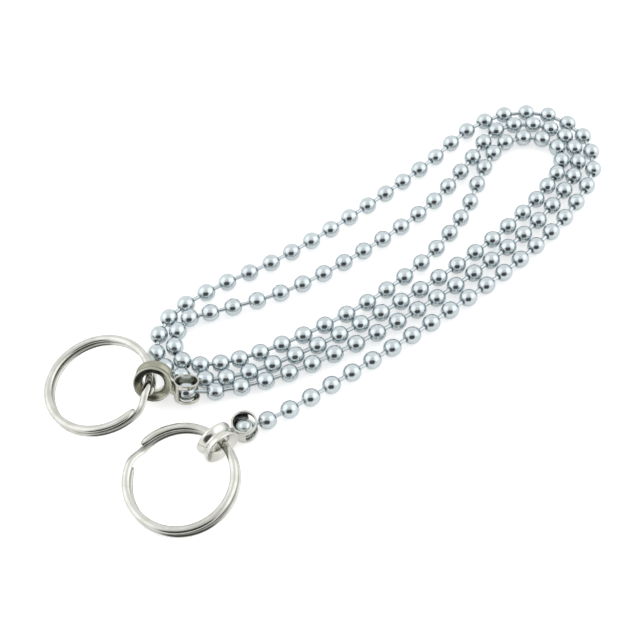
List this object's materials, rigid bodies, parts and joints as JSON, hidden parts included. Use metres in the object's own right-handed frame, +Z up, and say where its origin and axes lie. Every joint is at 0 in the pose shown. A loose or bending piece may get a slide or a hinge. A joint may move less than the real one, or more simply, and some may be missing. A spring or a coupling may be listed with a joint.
{
  "type": "roller blind chain",
  "caption": "Chrome ball chain for a roller blind, lying in loops, with a sheet metal coupling and a split ring at each end.",
  "frame": {"origin": "middle of the layout in plan, on the surface that the chain lies on", "axes": "+Z up from the surface, +X along the bundle of strands towards the two loops, +Y across the bundle"},
  "size_m": [0.1678, 0.0672, 0.0108],
  "materials": {
    "chain": "bright chrome plate, slightly blue",
    "coupling": "bright nickel plate, slightly warm",
    "ring": "bright nickel plate, slightly warm"
  },
  "bodies": {
    "chain": {"chain_run_01": "chain", "chain_run_02": "chain", "chain_run_03": "chain", "chain_run_04": "chain", "chain_run_05": "chain", "chain_run_06": "chain", "chain_run_07": "chain", "chain_run_08": "chain", "chain_run_09": "chain", "chain_run_10": "chain", "chain_run_11": "chain", "chain_run_12": "chain", "chain_run_13": "chain", "chain_run_14": "chain", "chain_run_15": "chain", "chain_run_16": "chain", "chain_run_17": "chain", "chain_run_18": "chain", "chain_run_19": "chain", "chain_run_20": "chain", "chain_run_21": "chain", "chain_run_22": "chain", "chain_run_23": "chain", "chain_run_24": "chain", "chain_run_25": "chain", "chain_run_26": "chain", "chain_run_27": "chain", "chain_run_28": "chain", "chain_run_29": "chain", "chain_run_30": "chain", "chain_run_31": "chain", "chain_run_32": "chain", "chain_run_33": "chain", "chain_run_34": "chain", "chain_run_35": "chain", "chain_run_36": "chain", "chain_run_37": "chain", "chain_run_38": "chain", "chain_run_39": "chain", "chain_run_40": "chain", "chain_run_41": "chain", "chain_run_42": "chain", "chain_run_43": "chain", "chain_run_44": "chain", "chain_run_45": "chain", "chain_run_46": "chain", "chain_run_47": "chain", "coupling_a": "coupling", "coupling_b": "coupling"},
    "ring_a": {"split_ring_a": "ring"},
    "ring_b": {"split_ring_b": "ring"}
  },
  "joints": [
    {"name": "split_ring_a_swing", "type": "hinge", "parent": "chain", "child": "ring_a", "pos_m": [-0.05955, 0.00593, 0.00571], "axis": [0.5664, 0.8241, 0], "range_deg": [0, 150]},
    {"name": "split_ring_b_swing", "type": "hinge", "parent": "chain", "child": "ring_b", "pos_m": [-0.05336, -0.01665, 0.0045], "axis": [-0.2334, 0.9724, 0], "range_deg": [0, 150]}
  ]
}
